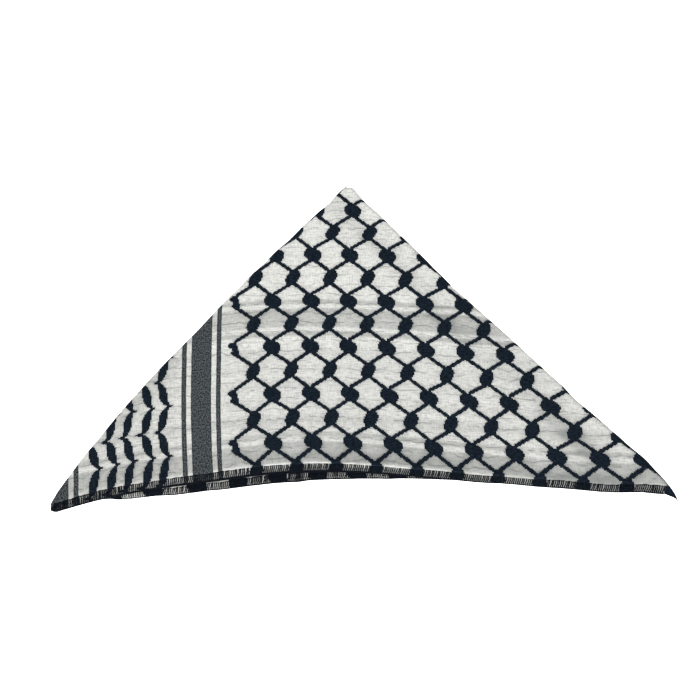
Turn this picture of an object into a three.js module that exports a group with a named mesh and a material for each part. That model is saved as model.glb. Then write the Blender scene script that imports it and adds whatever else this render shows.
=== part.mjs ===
// A square keffiyeh bandana, folded twice into a triangle and laid flat on its back.
// Millimetres, +Z up. The floor is z = 0, +X runs along the hem and +Y points to the apex.
//
// The square is folded along one diagonal, and that triangle is folded in half again, so four
// quarters of the cloth lie on each other. From the top they are the front quarter, which shows,
// two hidden ones that share one solid, and the back quarter, which rests on the floor. Each
// quarter ends at the bottom in a stretch of the overlocked edging that runs round the square.

import * as THREE from 'three';
import { mergeVertices } from 'three/addons/utils/BufferGeometryUtils.js';

// Driving dimensions
const SIDE = 522; // side of the relaxed square
const HEM = 8; // width of the overlocked edging
const WALL = 1; // thickness of an outer quarter, as a wall
const CORE = 2; // the two hidden quarters together
const GAP = 0.3; // between neighbours
const APEX = 256.6; // the cloth's centre, measured up from the front hem
const FLAT_STEPS = 20; // faces across a quarter, between its two folds

const HALF = SIDE / 2;
const FOLD = CORE / 2 + GAP + WALL; // radius of the outer face where the cloth turns over
const MID = FOLD; // height of the middle of the stack

// How the cloth lies. u runs along the relaxed front hem from the left corner and v runs up from
// it. With a = (u - HALF) / HALF and b = v / HALF, each value moves the yarns by so many mm.
const ACROSS = {
  middle: -10.43, // where the middle upright meets the hem
  spread: 278.5, // half the hem, which its edging has stretched
  fan: 8.8, // the right half is stretched more than the left (a squared)
  lean: -29, // the uprights lean to the left (b)
  straighten: 28.8, // and come back higher up (b squared)
  narrow: -25.5, // the body is narrower than its hem (a times b)
};
const UP = {
  crest: -108.3, // the hem's middle
  tilt: -5.3, // the right half of the hem lies lower (a)
  arch: -39, // both tips lie lower than the middle (a squared)
  skew: 13.6, // the left tip is pulled down most (a cubed)
  flatten: 12.4, // the drop eases off near the tips (a to the fourth)
  rise: 271.3, // height of the cloth (b)
  settle: -16.5, // the courses crowd towards the apex (b squared)
  flare: 24.1, // the ends of the courses lie higher (a squared times b)
};
const TAIL = { from: 508, drop: 5, pull: 2.2 }; // the right corner curls down past the hem
const RIPPLE = { height: 1.6, crest: 56, length: 166, until: 305, reach: 40 }; // along the hem's left half

// The folds run a little off the diagonals, and the left corner is blunt.
const LEFT_FOLD = { shift: -2.2, bow: 6, from: 30, length: 270 };
const RIGHT_FOLD = { bow: 5.8, length: 205, power: 0.7 };
const BLUNT = 5.5;

// The lower pair of quarters slipped down under the upper pair, between these places on the hem.
const SLIP = { from: 44, to: 337, most: 8 };

const radians = THREE.MathUtils.degToRad;
const mix = THREE.MathUtils.lerp;

function layOut(u, v) {
  const a = (u - HALF) / HALF;
  const b = v / HALF;
  const tail = (Math.max(0, u - TAIL.from) / (SIDE - TAIL.from)) ** 2;
  const fade = THREE.MathUtils.smoothstep(RIPPLE.until - u, 0, RIPPLE.length / 2) * Math.exp(-v / RIPPLE.reach);
  const ripple = RIPPLE.height * Math.cos(2 * Math.PI * (u - RIPPLE.crest) / RIPPLE.length) * fade;
  return {
    x: ACROSS.middle + (ACROSS.spread + ACROSS.narrow * b) * a + ACROSS.fan * a ** 2
      + (ACROSS.lean + ACROSS.straighten * b) * b - TAIL.pull * tail,
    y: UP.crest + UP.tilt * a + UP.arch * a ** 2 + UP.skew * a ** 3 + UP.flatten * a ** 4
      + (UP.rise + UP.flare * a ** 2 + UP.settle * b) * b - TAIL.drop * tail + ripple,
  };
}

function leftFold(v) {
  const along = Math.max(0, v - LEFT_FOLD.from) / LEFT_FOLD.length;
  const fold = v + LEFT_FOLD.shift + LEFT_FOLD.bow * Math.sin(Math.PI * along) ** 2;
  return (Math.max(0, fold) ** 4 + BLUNT ** 4) ** 0.25;
}

function rightFold(v) {
  const along = (v / RIGHT_FOLD.length) ** RIGHT_FOLD.power;
  return SIDE - v + RIGHT_FOLD.bow * Math.sin(Math.PI * along);
}

function slipAt(u) {
  const along = THREE.MathUtils.clamp((u - SLIP.from) / (SLIP.to - SLIP.from), 0, 1);
  return SLIP.most * Math.sin(Math.PI * along);
}

// A piece is a grid. Its columns run across from fold to fold, and `turn` is the angle round a
// fold, 90 on the flat. Its rows run up from the hem, and their `turn` is the angle at the apex.
function columnsFrom(firstTurn) {
  const turns = [firstTurn, 35, 55, 75];
  const flat = Array.from({ length: FLAT_STEPS + 1 }, (_, i) => ({ turn: 90, along: i / FLAT_STEPS }));
  return [
    ...turns.map((turn) => ({ turn, along: 0 })),
    ...flat,
    ...turns.toReversed().map((turn) => ({ turn, along: 1 })),
  ];
}

// A point on the face that turns about the core with this radius.
// `height(lift)` gives its z, and lift falls from 1 on the flat to 0 in the middle of a fold.
function facePoint(column, row, radius, height) {
  const { up, slip = 0, turn = 90 } = row;
  const inset = (angle) => FOLD - radius * Math.cos(radians(angle));
  const v = turn < 90 ? up - inset(turn) : up;
  const left = leftFold(v);
  const right = rightFold(v);
  const flat = FOLD * Math.SQRT2;
  const room = Math.min(1, (right - left) / (2 * flat + GAP));
  const reach = column.turn < 90 ? inset(column.turn) * Math.SQRT2 : flat;
  const u = mix(left + reach * room, right - reach * room, column.along);
  const { x, y } = layOut(u, v - slip * slipAt(u));
  const lift = Math.sin(radians(column.turn)) * Math.sin(radians(turn));
  return [x, y, height(lift, row)];
}

// The closed mesh between an upper and a lower face with the same rows and columns.
function grid(rows, columns, upper, lower) {
  const across = columns.length;
  const faces = [upper, lower].map((face) => rows.flatMap((row) => columns.map((column) => face(column, row))));
  const positions = faces.flat(2);
  const index = [];
  const quad = (a, b, c, d) => index.push(a, b, c, a, c, d);
  const low = rows.length * across;
  for (let r = 0; r + 1 < rows.length; r++) {
    for (let c = 0; c + 1 < across; c++) {
      const at = r * across + c;
      quad(at, at + 1, at + across + 1, at + across);
      quad(low + at, low + at + across, low + at + across + 1, low + at + 1);
    }
    const left = r * across;
    const right = left + across - 1;
    quad(left, left + across, low + left + across, low + left);
    quad(right, low + right, low + right + across, right + across);
  }
  for (let c = 0; c + 1 < across; c++) {
    const last = low - across + c;
    quad(c, low + c, low + c + 1, c + 1);
    quad(last, last + 1, low + last + 1, low + last);
  }
  const geometry = new THREE.BufferGeometry();
  geometry.setAttribute('position', new THREE.Float32BufferAttribute(positions, 3));
  geometry.setIndex(index);
  return mergeVertices(geometry, 1e-3);
}

const WHITE_CLOTH = { color: 0xe2e3de, roughness: 0.92, metalness: 0 };
const INNER_CLOTH = { color: 0xd2d3cf, roughness: 0.92, metalness: 0 };
const DARK_THREAD = { color: 0x24282c, roughness: 0.85, metalness: 0 };

function piece(name, finish, geometry) {
  geometry.computeVertexNormals();
  const mesh = new THREE.Mesh(geometry, new THREE.MeshStandardMaterial(finish));
  mesh.name = name;
  return mesh;
}

const inner = FOLD - WALL;
const core = CORE / 2;
const outside = columnsFrom(4);
const inside = columnsFrom(20);

const BODY_ROWS = [20, 40, 65, 90, 115, 140, 165, 190, 210, 228, 242, 250].map((up) => ({ up }));
const APEX_ROWS = [75, 50, 25].map((turn) => ({ up: APEX, turn }));

// Heights of the faces, from the fold's middle to the flat.
const above = (radius) => (lift, row) => MID + (radius + (row.proud ?? 0)) * lift;
const below = (radius) => (lift) => MID - radius * lift;
const upperFace = (radius) => (column, row) => facePoint(column, row, radius, above(radius));
const lowerFace = (radius) => (column, row) => facePoint(column, row, radius, below(radius));

function frontQuarter() {
  const rows = [{ up: HEM + GAP }, ...BODY_ROWS, ...APEX_ROWS];
  return grid(rows, outside, upperFace(FOLD), upperFace(inner));
}

function backQuarter() {
  const rows = [{ up: HEM + GAP, slip: 0.85 }, ...BODY_ROWS, ...APEX_ROWS];
  return grid(rows, outside, lowerFace(inner), lowerFace(FOLD));
}

// The two hidden quarters, stepped at the hem where the lower one runs on past the upper one.
function innerQuarters() {
  const step = { low: true };
  const rows = [
    { up: HEM, slip: 1, ...step },
    { up: HEM + 2 * GAP, slip: 0.12, ...step },
    { up: HEM + 3 * GAP, slip: 0.12 },
    ...BODY_ROWS,
    ...APEX_ROWS,
  ];
  const top = (lift, row) => Math.min(MID + core * lift, row.low ? MID - GAP / 2 : Infinity);
  return grid(rows, inside, (column, row) => facePoint(column, row, core, top), lowerFace(core));
}

// A stretch of edging. The rows round its long edges: `proud` lifts a row off the cloth's face.
function edging(slip, proud, width = HEM) {
  return [0, 0.1, 0.5, 0.9, 1].map((part, i) => ({ up: width * part, slip, proud: proud[i] }));
}

function frontHem() {
  return grid(edging(0, [-0.4, 0.2, 0.3, 0.2, 0]), outside, upperFace(FOLD),
    (column, row) => facePoint(column, row, inner, (lift) => MID + inner * lift));
}

function darkHem() {
  const floor = () => MID + GAP / 2;
  return grid(edging(0.12, [-0.3, 0, 0, 0, 0], HEM + GAP), inside, upperFace(core),
    (column, row) => facePoint(column, row, core, floor));
}

function peekingHem() {
  const roof = (lift, row) => MID - GAP / 2 + row.proud;
  return grid(edging(1, [-0.3, 0, 0, 0, 0], HEM - GAP), inside,
    (column, row) => facePoint(column, row, core, roof), lowerFace(core));
}

function backHem() {
  return grid(edging(0.85, [0, 0, 0, 0, 0]), outside, lowerFace(inner), lowerFace(FOLD));
}

const keffiyeh = new THREE.Group();
keffiyeh.add(
  piece('front_quarter', WHITE_CLOTH, frontQuarter()),
  piece('inner_quarters', INNER_CLOTH, innerQuarters()),
  piece('back_quarter', WHITE_CLOTH, backQuarter()),
  piece('front_hem', DARK_THREAD, frontHem()),
  piece('dark_hem', DARK_THREAD, darkHem()),
  piece('peeking_hem', DARK_THREAD, peekingHem()),
  piece('back_hem', DARK_THREAD, backHem()),
);

export default keffiyeh;
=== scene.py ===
# %% [markdown]
# # A keffiyeh bandana, folded twice and laid flat
#
# The real thing is one square of thin woven cotton, about half a metre wide, with an edge
# overlocked in dark thread. It is folded corner to corner, and then in half again, so four
# quarters of the same cloth lie on each other. This lesson makes each quarter as a thin sheet,
# weaves the pattern into one material that follows the cloth round its folds, and sews the
# edges with Geometry Nodes.
#
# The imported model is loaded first. It fixes the place and the size of everything here.

# %% Load the frame
import math

import bpy
import numpy as np
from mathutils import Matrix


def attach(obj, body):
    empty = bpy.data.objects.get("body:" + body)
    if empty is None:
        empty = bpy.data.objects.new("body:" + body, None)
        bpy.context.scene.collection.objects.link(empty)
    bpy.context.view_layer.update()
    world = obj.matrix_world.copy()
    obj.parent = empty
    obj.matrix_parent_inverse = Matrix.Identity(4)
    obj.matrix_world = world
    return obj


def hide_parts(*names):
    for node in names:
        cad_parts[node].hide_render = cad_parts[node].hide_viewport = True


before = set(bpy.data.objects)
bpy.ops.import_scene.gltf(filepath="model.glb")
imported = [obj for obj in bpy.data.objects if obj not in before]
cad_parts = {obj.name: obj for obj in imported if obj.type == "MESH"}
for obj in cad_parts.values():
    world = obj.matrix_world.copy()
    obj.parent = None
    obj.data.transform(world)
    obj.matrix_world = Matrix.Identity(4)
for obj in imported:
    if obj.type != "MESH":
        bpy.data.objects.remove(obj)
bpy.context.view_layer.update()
MM = 0.001
print("solids to dress:", sorted(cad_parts))

# %% [markdown]
# ## How the cloth lies
#
# Real cloth never lies on a perfect grid: its edge is stretched by the overlocking, its threads
# lean, and its folds run a little off the diagonals. One could drape a square by simulation, but
# the folds would land somewhere new on each try. Here a formula says where each point of the
# cloth lies instead. h is measured in millimetres along the hem from the left corner, and w up
# from it, both on the relaxed cloth.

# %% Sizes of the cloth, in millimetres
SIDE = 522  # of the relaxed square
HALF = SIDE / 2
HEM = 8  # width of the overlocked edge
NEAR_HEM = 14  # how far up the rows still bend with the cut edge
APEX = 256.6  # where the top fold is, up from the hem
THICKNESS = 0.6

# %% Where the threads run
# With a from -1 to 1 along the hem, and b from 0 to 1 up from it, each value moves the threads by
# so many millimetres. `fan` goes with a squared, `lean` with b, `straighten` with b squared and
# `narrow` with a times b. `tilt`, `arch`, `skew` and `flatten` go with a, a squared and so on, and
# `settle` and `flare` with b squared and a squared times b. The tail is the right corner's tip,
# which curls down past the hem, and the ripple is the slow wave of the hem's left half.
ACROSS = dict(middle=-10.43, spread=278.5, fan=8.8, lean=-29, straighten=28.8, narrow=-25.5)
UP = dict(crest=-108.3, tilt=-5.3, arch=-39, skew=13.6, flatten=12.4, rise=271.3, settle=-16.5,
          flare=24.1)
TAIL = dict(start=508, drop=5, pull=2.2)
RIPPLE = dict(height=1.6, crest=56, length=166, until=305, reach=40)


def eased(t):
    """0 to 1 with a soft start and end."""
    t = np.clip(t, 0, 1)
    return t * t * (3 - 2 * t)


def lay_out(h, w):
    """The place in the frame, in millimetres, of a point of the folded cloth."""
    a, b = (h - HALF) / HALF, w / HALF
    tail = (np.maximum(0, h - TAIL["start"]) / (SIDE - TAIL["start"])) ** 2
    fade = eased((RIPPLE["until"] - h) / (RIPPLE["length"] / 2)) * np.exp(-w / RIPPLE["reach"])
    wave = np.cos(2 * np.pi * (h - RIPPLE["crest"]) / RIPPLE["length"])
    x = (ACROSS["middle"] + (ACROSS["spread"] + ACROSS["narrow"] * b) * a + ACROSS["fan"] * a**2
         + (ACROSS["lean"] + ACROSS["straighten"] * b) * b - TAIL["pull"] * tail)
    y = (UP["crest"] + UP["tilt"] * a + UP["arch"] * a**2 + UP["skew"] * a**3
         + UP["flatten"] * a**4 + (UP["rise"] + UP["flare"] * a**2 + UP["settle"] * b) * b
         - TAIL["drop"] * tail + RIPPLE["height"] * wave * fade)
    return x, y


# %% Where the folds run
# Each fold bows off its diagonal. The left corner is blunt, and its stitches round its edge.
LEFT_FOLD = dict(shift=-2.2, bow=6, start=30, length=270, blunt=5.5)
RIGHT_FOLD = dict(bow=5.8, length=205, power=0.7)
CORNER = dict(rise=3, reach=12.5, length=7)
# (place up the fold, half its length, how far it stands out)
LEFT_BULGES = [(28, 12, -0.5), (48, 7, -1.2), (58, 8, -0.6), (84, 28, -1.1), (128, 22, -2.2),
               (130, 90, 0.5), (164, 8, -0.8), (186, 7, -1), (208, 9, -1.7), (228, 9, -1.1),
               (241, 6, -2)]
RIGHT_BULGES = [(27, 7, 1.6), (0, 9.5, 2.3), (5, 4, 0.9), (40, 12, 0.6), (86, 7, 1.2),
                (78, 14, -1.7), (110, 90, 0.6), (150, 16, -1),
                (166, 8, -1.8), (181, 9, -1.1), (243, 6, -1.6)]
# (place along the hem, how far the cut edge lies above the line w = 0)
EDGE = [(0, -1.2), (50, -1.2), (70, -0.6), (90, 0), (112, 1.0), (152, 1.2), (180, 1.1), (200, 0.6),
        (216, 0.1), (236, 0.6), (250, 1.2), (268, 1.4), (285, 1), (300, 0.3), (314, -0.4),
        (345, -0.7), (362, -0.9), (372, -0.6), (381, 0), (395, 0.3), (410, 0.2), (430, 0.8),
        (444, 0.8), (460, 0.4), (472, 0.5), (484, 1.2), (494, 1.6), (500, 1), (509, 0.3),
        (515, -0.6), (522, 0.1)]
# (place along the hem, how far the lower pair of quarters slipped down there past the upper pair)
SLIPS = [(46, 0), (52, 0.6), (58, 1.8), (64, 3.8), (76, 5.3), (96, 6.3), (112, 8.1), (140, 7.9),
         (152, 8.7), (182, 9.3), (204, 9.1), (216, 9), (224, 8.3), (250, 7.3), (282, 5.0),
         (290, 4.6), (301, 3.1), (314, 1.75), (327, 1.1), (340, 0.4), (352, 0)]
SLIP_REACH = 60
# (place along the hem, size of the stitches)
HEM_SIZES = {"upper": [(0, 1.1), (50, 1.2), (95, 0.96), (150, 1.05), (180, 1), (225, 1.1),
                       (268, 1.02), (300, 0.95), (330, 1.06), (366, 0.98), (395, 0.94),
                       (430, 1.06), (462, 1), (500, 1.1)],
             "lower": [(0, 0.8), (80, 0.85), (112, 0.95), (150, 1), (182, 1.1), (216, 1.2),
                       (228, 1.12), (260, 1.05), (509, 1)]}


def bulge(w, places):
    return sum(out * np.exp(-(((w - at) / half) ** 2)) for at, half, out in places)


def left_fold(w):
    along = np.maximum(0, w - LEFT_FOLD["start"]) / LEFT_FOLD["length"]
    fold = w + LEFT_FOLD["shift"] + LEFT_FOLD["bow"] * np.sin(np.pi * along) ** 2
    fold = fold - bulge(w, LEFT_BULGES)
    return (np.maximum(0, fold) ** 4 + LEFT_FOLD["blunt"] ** 4) ** 0.25


def right_fold(w):
    along = (np.maximum(0, w) / RIGHT_FOLD["length"]) ** RIGHT_FOLD["power"]
    return SIDE - w + RIGHT_FOLD["bow"] * np.sin(np.pi * along) + bulge(w, RIGHT_BULGES)


def slip_at(h, w):
    """How far the lower pair of quarters slipped down past the upper pair."""
    return np.interp(h, *zip(*SLIPS)) * np.clip(1 - w / SLIP_REACH, 0, 1) ** 2


def edge_at(h):
    """Where the cut edge lies, up from w = 0. The left corner is rounded by its stitches."""
    corner = np.clip((CORNER["reach"] - h) / CORNER["length"], 0, 1)
    return np.interp(h, *zip(*EDGE)) + CORNER["rise"] * corner**2


def hem_size(h, hem="upper"):
    return np.interp(h, *zip(*HEM_SIZES[hem]))


def bent(h, w):
    """The height of a row at h. Rows near the hem bend with the cut edge, the first lies on it."""
    return w + edge_at(h) * np.clip(1 - w / NEAR_HEM, 0, 1)


corner = lay_out(np.array([right_fold(0.0)]), np.array([0.0]))
print("right corner at", [round(float(c[0]), 1) for c in corner], "mm")

# %% [markdown]
# ## The woven figures
#
# A keffiyeh's fishnet, olive leaves and stripes are woven in, so they belong to the cloth and
# not to the shape it is folded into. They could be painted on an image, but a chart of a few
# rules stays sharp at any distance. Each rule below takes cloth coordinates u (from the striped
# edge) and v (from the bottom edge), and answers how deep a point lies inside the figure, in
# millimetres, negative outside it. The same rules are read twice: with numbers, to raise the
# figures on the mesh, and with shader nodes, to colour them. That is why they are written with
# the small functions of the next cell, which accept either.


# %% Arithmetic for numbers and for shader nodes alike
class Field:
    """A value in a shader node tree that can be added, multiplied and so on."""

    def __init__(self, tree, socket):
        self.tree, self.socket = tree, socket

    def math(self, operation, *others):
        node = self.tree.nodes.new("ShaderNodeMath")
        node.operation = operation
        for socket, value in zip(node.inputs, (self, *others)):
            if isinstance(value, Field):
                self.tree.links.new(value.socket, socket)
            else:
                socket.default_value = value
        return Field(self.tree, node.outputs[0])

    def __add__(self, other):
        return self.math("ADD", other)

    def __sub__(self, other):
        return self.math("SUBTRACT", other)

    def __mul__(self, other):
        return self.math("MULTIPLY", other)

    def __truediv__(self, other):
        return self.math("DIVIDE", other)

    def __rsub__(self, other):
        return self * -1 + other

    def __abs__(self):
        return self.math("ABSOLUTE")

    __radd__, __rmul__ = __add__, __mul__


def either(name, operation):
    """A function that works on numbers by NumPy and on Fields by a Math node."""
    def work(first, *rest):
        if isinstance(first, Field):
            return first.math(operation, *rest)
        return getattr(np, name)(first, *rest)
    return work


smaller = either("minimum", "MINIMUM")
larger = either("maximum", "MAXIMUM")
whole = either("floor", "FLOOR")
power = either("power", "POWER")
sine = either("sin", "SINE")
decay = either("exp", "EXPONENT")


def around(value, reach):
    """value brought into the repeat that runs from -reach to reach."""
    return value - whole((value + reach) / (2 * reach)) * (2 * reach)


def union(*depths):
    for depth in depths[1:]:
        depths = (larger(depths[0], depth),)
    return depths[0]


def shown(depth, edge):
    """1 inside a figure and 0 outside, with an edge this soft."""
    return smaller(larger(depth / edge + 0.5, 0.0), 1.0)


def bell(value, half):
    """1 at the middle and falling off softly on both sides."""
    return decay(value * value * (-1 / half**2))


# %% [markdown]
# ### Fishnet
#
# The net is two kinds of knot in turn, row by row: broad ones that lean back, and slim ones
# between them that lean forward. Straight strands join the tops and bottoms of the knots. On the
# striped side the net ends in little hooks, where half a knot is missing.

# %% The fishnet's chart
# The first knot's place, and how far it is to the next column and the next row of knots.
NET = dict(first=166.4, column=32.9, bottom=5.5, row=20.8)
# Half sizes of a knot, degrees that it leans, and how square it is, where 2 is an ellipse.
BROAD_KNOT = dict(long=7.9, short=5.9, lean=-26, square=2.5)
SLIM_KNOT = dict(long=7.7, short=5.3, lean=58, square=2.3)
STRAND = 1.65  # half the width


def knot(x, y, long, short, lean, square):
    c, s = math.cos(math.radians(lean)), math.sin(math.radians(lean))
    along, over = abs(x * c + y * s) / long, abs(y * c - x * s) / short
    return (1 - power(power(along, square) + power(over, square), 1 / square)) * short


def strand(x, y, start, end, half=STRAND):
    """A straight strand along the line through two points."""
    slope = (end[1] - start[1]) / (end[0] - start[0])
    middle = y - (x - start[0]) * slope - start[1]
    return half - abs(middle) * math.cos(math.atan(slope))


def blob(x, y, start, end, half):
    """A round-ended stroke from start to end."""
    dx, dy = end[0] - start[0], end[1] - start[1]
    along = ((x - start[0]) * dx + (y - start[1]) * dy) / (dx * dx + dy * dy)
    along = smaller(larger(along, 0.0), 1.0)
    away_x, away_y = x - start[0] - along * dx, y - start[1] - along * dy
    return half - power(away_x * away_x + away_y * away_y, 0.5)


def hook(x, y):
    return union(blob(x, y, (-0.3, 2.4), (1.6, -4.4), 2.8), blob(x, y, (-2.9, 3), (-0.6, 3.4), 2.6),
                 blob(x, y, (-2.4, -3.4), (0.5, -5.4), 1.3))


def fishnet(u, v):
    half, row = NET["column"] / 2, NET["row"]
    x, y = around(u - NET["first"], half), around(v - NET["bottom"] - row, row)
    slim_x, slim_y = around(u - NET["first"] - half, half), around(v - NET["bottom"], row)
    to_right = union(
        smaller(strand(x, y, (1.5, -5.5), (half - 0.5, 5.3 - row)), y * -1),
        smaller(strand(x, y, (2.8, 7.5), (half - 3, row - 6.8)), y),
    )
    to_left = union(
        smaller(strand(x, y, (-2, -5.5), (1 - half, 6 - row)), y * -1),
        smaller(strand(x, y, (-4, 7), (1 - half, row - 5.3)), y),
    )
    broad = union(knot(x, y, **BROAD_KNOT), smaller(to_left, x * -1))
    begun = u - NET["first"]
    return union(
        smaller(broad, begun - half),
        smaller(union(knot(slim_x, slim_y, **SLIM_KNOT), smaller(to_right, x)), begun),
        smaller(hook(x, y), half - abs(begun)),
    )


# %% [markdown]
# ### Olive leaves and stripes
#
# Five columns of leaves stand in the border, each leaf joined to the next at alternate sides, so
# a column zigzags. A thorn sticks out at each joint. Bands of charcoal warp, one broad and two
# narrow, stand beside them, and half a border more runs along the edge itself.

# %% The chart of leaves and stripes
# `sway` is how far a leaf's ends stand off the middle of its column. Half its width is `joint` at
# the ends, and `fat` more in the middle. The column near `wide` stands a little further out.
LEAF = dict(first=44.3, column=15.2, columns=5, sway=4.1, curve=0.65, joint=0.9, fat=3.0,
            round=0.6, drop=1.6, upper_bulge=-0.6, lower_bulge=-0.4, wide=91, wider=0.9)
# How far the thorns reach on both sides, where they start and how they taper. A thorn is looked
# for this far ahead, because it can reach into the next column.
THORN = dict(right=3.8, left=5.2, root=3.2, half=0.6, slope=0.25, ahead=3)
# (start, end) of each stripe
STRIPES = [(-4, 21.6), (26.1, 30.4), (120.6, 124.8), (128.9, 146.3), (150.5, 154.5)]


def in_column(place, ahead):
    """Place across one column, looked for this far ahead, and the depth inside the border."""
    column = LEAF["column"]
    across = place - ahead
    border = smaller(across + column / 2, column * (LEAF["columns"] - 0.5) - across)
    return around(across, column / 2) + ahead, border


def thorn(out, y, reach):
    """A spike from the side of a joint, out to this reach."""
    short = LEAF["sway"] + reach - out
    thick = short * THORN["slope"] + THORN["half"]
    return smaller(smaller(thick - abs(y), out - THORN["root"]), short)


def leaves(u, v):
    row = NET["row"]
    place = u - bell(u - LEAF["wide"], LEAF["column"] / 2) * LEAF["wider"] - LEAF["first"]
    x, border = in_column(place, 0)
    y = around(v - NET["bottom"] + LEAF["drop"], row)
    up = abs(y) / row
    along = up * 2 - 1
    upper, lower = shown(y, 0.1), shown(y * -1, 0.1)
    bent_by = (1 - along * along) * (upper * LEAF["upper_bulge"] + lower * LEAF["lower_bulge"])
    curve = along * along * LEAF["curve"] + (1 - LEAF["curve"])
    centre = along * curve * LEAF["sway"] + bent_by
    width = power(sine(up * math.pi), LEAF["round"]) * LEAF["fat"] + LEAF["joint"]
    leaf = smaller(width - abs(x - centre), border)
    right, right_border = in_column(place, THORN["ahead"])
    left, left_border = in_column(place, -THORN["ahead"])
    thorn_right = smaller(thorn(right, abs(y) - row, THORN["right"]), right_border)
    thorn_left = smaller(thorn(left * -1, y, THORN["left"]), left_border)
    return union(leaf, thorn_right, thorn_left)


def figures(u, v):
    return union(fishnet(u, v), leaves(u, v))


def stripes(u):
    return union(*[smaller(u - low, high - u) for low, high in STRIPES])


spot = figures(np.array([NET["first"] + 3 * NET["column"]]), np.array([NET["bottom"] + NET["row"]]))
print("depth inside a broad knot:", round(float(spot[0]), 2), "mm")

# %% [markdown]
# ## Making a sheet
#
# Each quarter of the cloth is a sheet with a cut edge at the hem and folds at its sides, where
# the cloth turns over into the next quarter. A plane cut up evenly would waste its faces on the
# narrow top, so the sheet is made row by row: every row has a point at each step of the cloth,
# extra points round its folds, and two rows of different length are zipped together.
#
# The outer face is made first, in its full shape, and a Solidify modifier gives it its thickness
# inwards. Creases are soft troughs and ridges, placed one by one in the cloth's own millimetres.

# %% Which threads lie where
# The overlocking drags the threads along. These say which threads lie at a place of the front
# quarter and of the third one. The other two are close enough to even.
# (place along, place up, half length, half height, threads along, threads up), in millimetres
DRAGS = [(346, 25, 50, 35, 0.1, 1.1), (240, 20, 60, 22, 0, 0.5), (190, 20, 30, 24, 1.3, 0),
         (255, 28, 35, 28, 0.7, 0), (235, 151, 75, 22, 0, 0.7), (236, 150, 18, 60, -0.8, 0),
         (157, 100, 20, 30, -0.7, 0), (50, 45, 12, 30, 0.4, 1),
         (76, 66, 7, 24, 0.9, 0), (90, 22, 7, 24, -1.1, 0), (61, 22, 7, 24, -0.9, 0),
         (47, 18, 6, 18, -0.5, 0), (104, 95, 7, 25, 0.5, 0)]
# Towards the right corner the threads are stretched apart, and more so a little above its tip.
STRETCH = dict(start=400, length=110, most=4.8, power=1.5)
TIP = dict(start=488, length=16, most=2.2, at=15, half=8)
# The machine trims the edge by this much and stretches what is left.
TRIMMED = dict(most=2.4, half=14)
# The third quarter's edge was pulled down as it slipped, and along, but less so round `at`. Both
# ease off from `above` up.
PULL = dict(down=7.5, along=8.5, less=8.3, at=75, half=48, above=12, length=60)


def front_chart(h, w):
    stretch = np.clip((h - STRETCH["start"]) / STRETCH["length"], 0, 1) ** STRETCH["power"]
    tip = eased((h - TIP["start"]) / TIP["length"]) * bell(w - TIP["at"], TIP["half"])
    u = h - STRETCH["most"] * stretch - TIP["most"] * tip
    v = w + TRIMMED["most"] * bell(w, TRIMMED["half"])
    for at_h, at_w, half_h, half_w, along, up in DRAGS:
        near = bell(h - at_h, half_h) * bell(w - at_w, half_w)
        u, v = u + along * near, v + up * near
    return u, v


def third_chart(h, w):
    pulled = 1 - eased((w - PULL["above"]) / PULL["length"])
    along = PULL["along"] - PULL["less"] * bell(h - PULL["at"], PULL["half"])
    return SIDE - h + along * pulled, SIDE - w + PULL["down"] * pulled


# %% A table of the four quarters
# `face` is the height of the good face on the flat, `hem` is its height at the hem, and `up` is 1
# where that face looks up. `left` and `right` are (height of the fold's middle, degrees that the
# cloth turns). `tuck` is how far inside the left fold, the right fold and the apex a sheet ends,
# `slip` its share of the slip, `step` the length of its faces, and `chart` says which threads lie
# at a place.
QUARTERS = {
    "front_cloth": dict(up=1, face=4.6, hem=4.65, left=(3.675, 180), right=(2.3, 90),
                        tuck=(0, 0, 0), slip=0, step=1.33, chart=front_chart),
    "second_cloth": dict(up=-1, face=2.75, hem=2.81, left=(2.75, 0), right=(2.325, 180),
                         tuck=(0.95, 1.5, 1.4), slip=0.12, step=4, chart=lambda h, w: (w, h)),
    "third_cloth": dict(up=1, face=1.9, hem=2.25, left=(1.9, 0), right=(1.9, 0),
                        tuck=(0.97, 1.95, 1.4), slip=1, step=2.2, chart=third_chart),
    "back_cloth": dict(up=-1, face=0, hem=0.5, left=(0.95, 180), right=(2.3, 90),
                       tuck=(0, 0, 0), slip=0.85, step=1.33,
                       chart=lambda h, w: (SIDE - w, SIDE - h)),
}
MIDDLE = 2.3  # height of the middle of the stack
TURN_STEP = 20  # degrees between two points round a fold
GAP = 0.3  # between neighbours


# %% Rows of a sheet
def turn(degrees):
    """Angles round a fold, from the flat, one for each step or so."""
    count = round(degrees / TURN_STEP)
    return np.radians(90 - degrees * np.arange(1, count + 1) / max(1, count))


def side_points(edge, outward, fold, face, room):
    """Points round one fold: across, arc length, height. outward is -1 on the left."""
    middle, degrees = fold
    radius = abs(face - middle)
    angles = turn(degrees)
    start = edge - outward * radius * math.sqrt(2) * room
    across = start + outward * radius * np.cos(angles) * math.sqrt(2) * room
    arc = radius * (math.pi / 2 - angles)
    height = middle + (face - middle) * np.sin(angles)
    return start, np.stack([across, arc, height])


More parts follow.
